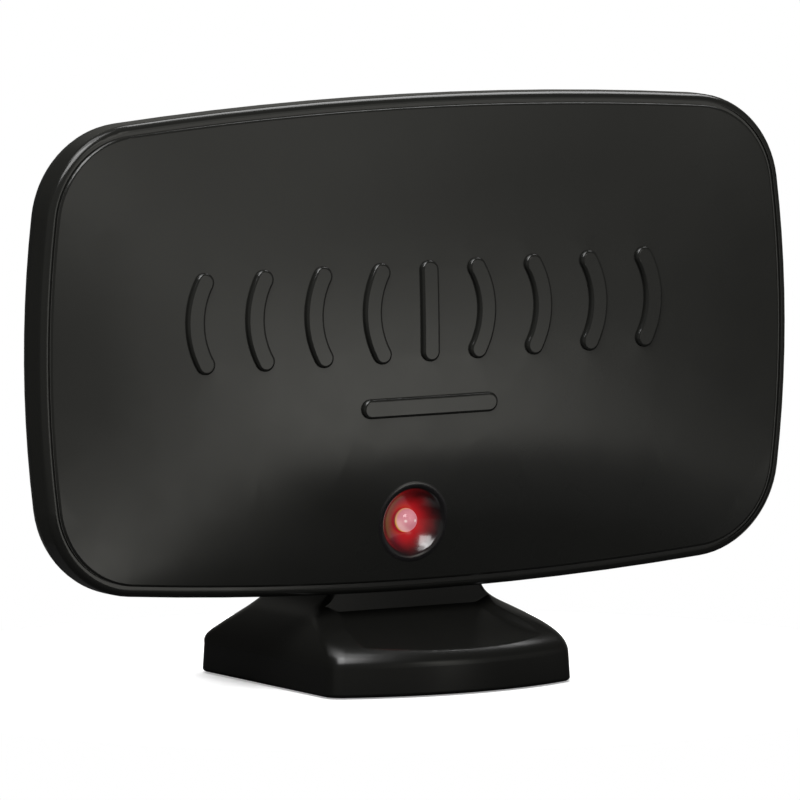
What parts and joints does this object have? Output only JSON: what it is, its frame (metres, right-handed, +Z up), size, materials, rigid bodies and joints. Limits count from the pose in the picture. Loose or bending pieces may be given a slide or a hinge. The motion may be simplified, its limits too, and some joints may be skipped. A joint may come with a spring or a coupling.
{
  "type": "tv antenna",
  "caption": "Indoor television antenna: a wide pillow-faced panel with an indicator lamp in a round dish, on a flared pedestal, with a coaxial socket at its back.",
  "frame": {"origin": "on the floor under the middle of the foot, at the underside of the soft pads", "axes": "+Z up, +X to the right seen from the front, the face looks along -Y"},
  "size_m": [0.2, 0.071, 0.1368],
  "materials": {
    "panel_black": "satin moulded",
    "back_black": "fine texture",
    "dish_black": "polished",
    "lamp_clear": "clear tinted",
    "lead_tin": "tinned",
    "screw_steel": "zinc plated",
    "radiator_alu": "rolled sheet",
    "board_green": "solder mask",
    "shield_tin": "tinned",
    "chip_black": "moulded",
    "chip_tan": "ceramic",
    "ferrite_grey": "sintered",
    "wire_copper": "enamelled",
    "socket_nickel": "nickel plated",
    "socket_white": "natural",
    "contact_brass": "bright",
    "pedestal_black": "half gloss moulded",
    "bottom_black": "fine texture",
    "ballast_iron": "raw sheet",
    "pad_rubber": "soft"
  },
  "bodies": {
    "root": {"front_cover": "panel_black", "rear_cover": "back_black", "heel_bracket": "back_black", "lamp_dish": "dish_black", "lamp_lens": "lamp_clear", "lamp_leads": "lead_tin", "cover_screws": "screw_steel", "bracket_screws": "screw_steel", "radiator_screws": "screw_steel", "feed_screws": "screw_steel", "board_screws": "screw_steel", "stand_screws": "screw_steel", "bottom_screws": "screw_steel", "radiator_left": "radiator_alu", "radiator_right": "radiator_alu", "amplifier_board": "board_green", "shield_can": "shield_tin", "amplifier_chips": "chip_black", "chip_parts": "chip_tan", "balun_core": "ferrite_grey", "balun_winding": "wire_copper", "socket_body": "socket_nickel", "socket_washer": "socket_nickel", "socket_nut": "socket_nickel", "socket_insulator": "socket_white", "socket_contact": "contact_brass", "pedestal": "pedestal_black", "bottom_plate": "bottom_black", "ballast": "ballast_iron", "feet": "pad_rubber"}
  },
  "joints": []
}
